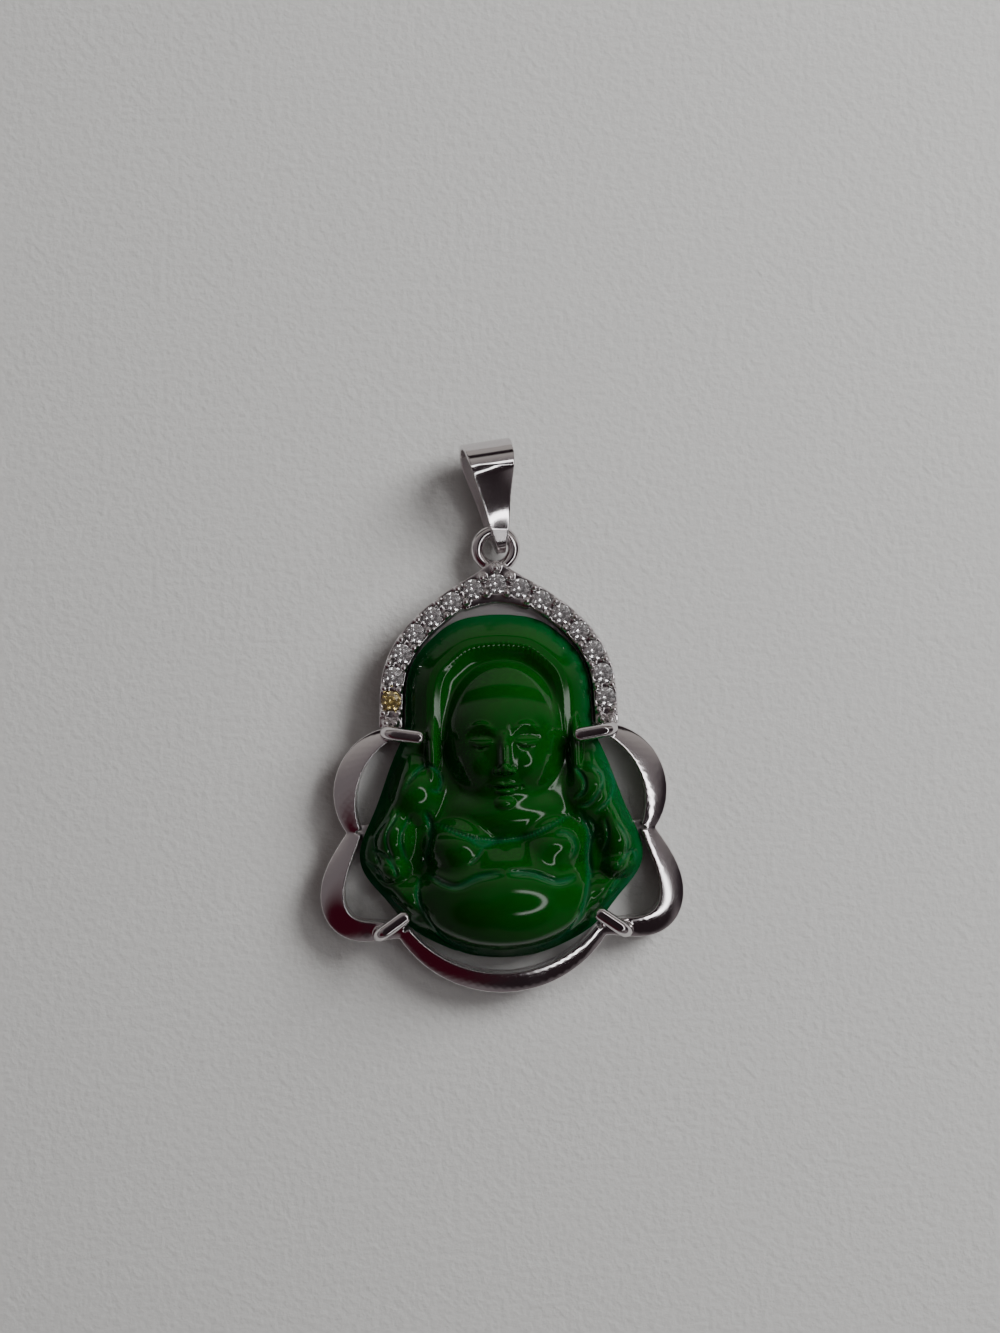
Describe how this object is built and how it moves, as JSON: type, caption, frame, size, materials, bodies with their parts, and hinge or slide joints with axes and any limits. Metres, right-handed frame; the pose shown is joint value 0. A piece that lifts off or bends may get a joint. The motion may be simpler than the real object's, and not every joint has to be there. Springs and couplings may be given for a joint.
{
  "type": "laughing buddha pendant",
  "caption": "Carved green jade figure pendant in a scalloped white metal claw setting, with a pave arch, an eye ring and a tapered bail.",
  "frame": {"origin": "middle of the pendant's bounding box across and along, on the surface that it lies on", "axes": "+X across the face, +Y up the pendant towards the bail, +Z out of the carved face"},
  "size_m": [0.0242, 0.037, 0.006],
  "materials": {
    "white_metal": "rhodium plated, mirror polished",
    "jade": "glossy polished deep green jade",
    "clear_stone": "faceted and polished"
  },
  "bodies": {
    "root": {"setting": "white_metal", "buddha_carving": "jade", "bail": "white_metal", "pave_stone_01": "clear_stone", "pave_stone_02": "clear_stone", "pave_stone_03": "clear_stone", "pave_stone_04": "clear_stone", "pave_stone_05": "clear_stone", "pave_stone_06": "clear_stone", "pave_stone_07": "clear_stone", "pave_stone_08": "clear_stone", "pave_stone_09": "clear_stone", "pave_stone_10": "clear_stone", "pave_stone_11": "clear_stone", "pave_stone_12": "clear_stone", "pave_stone_13": "clear_stone", "pave_stone_14": "clear_stone", "pave_stone_15": "clear_stone"}
  },
  "joints": []
}
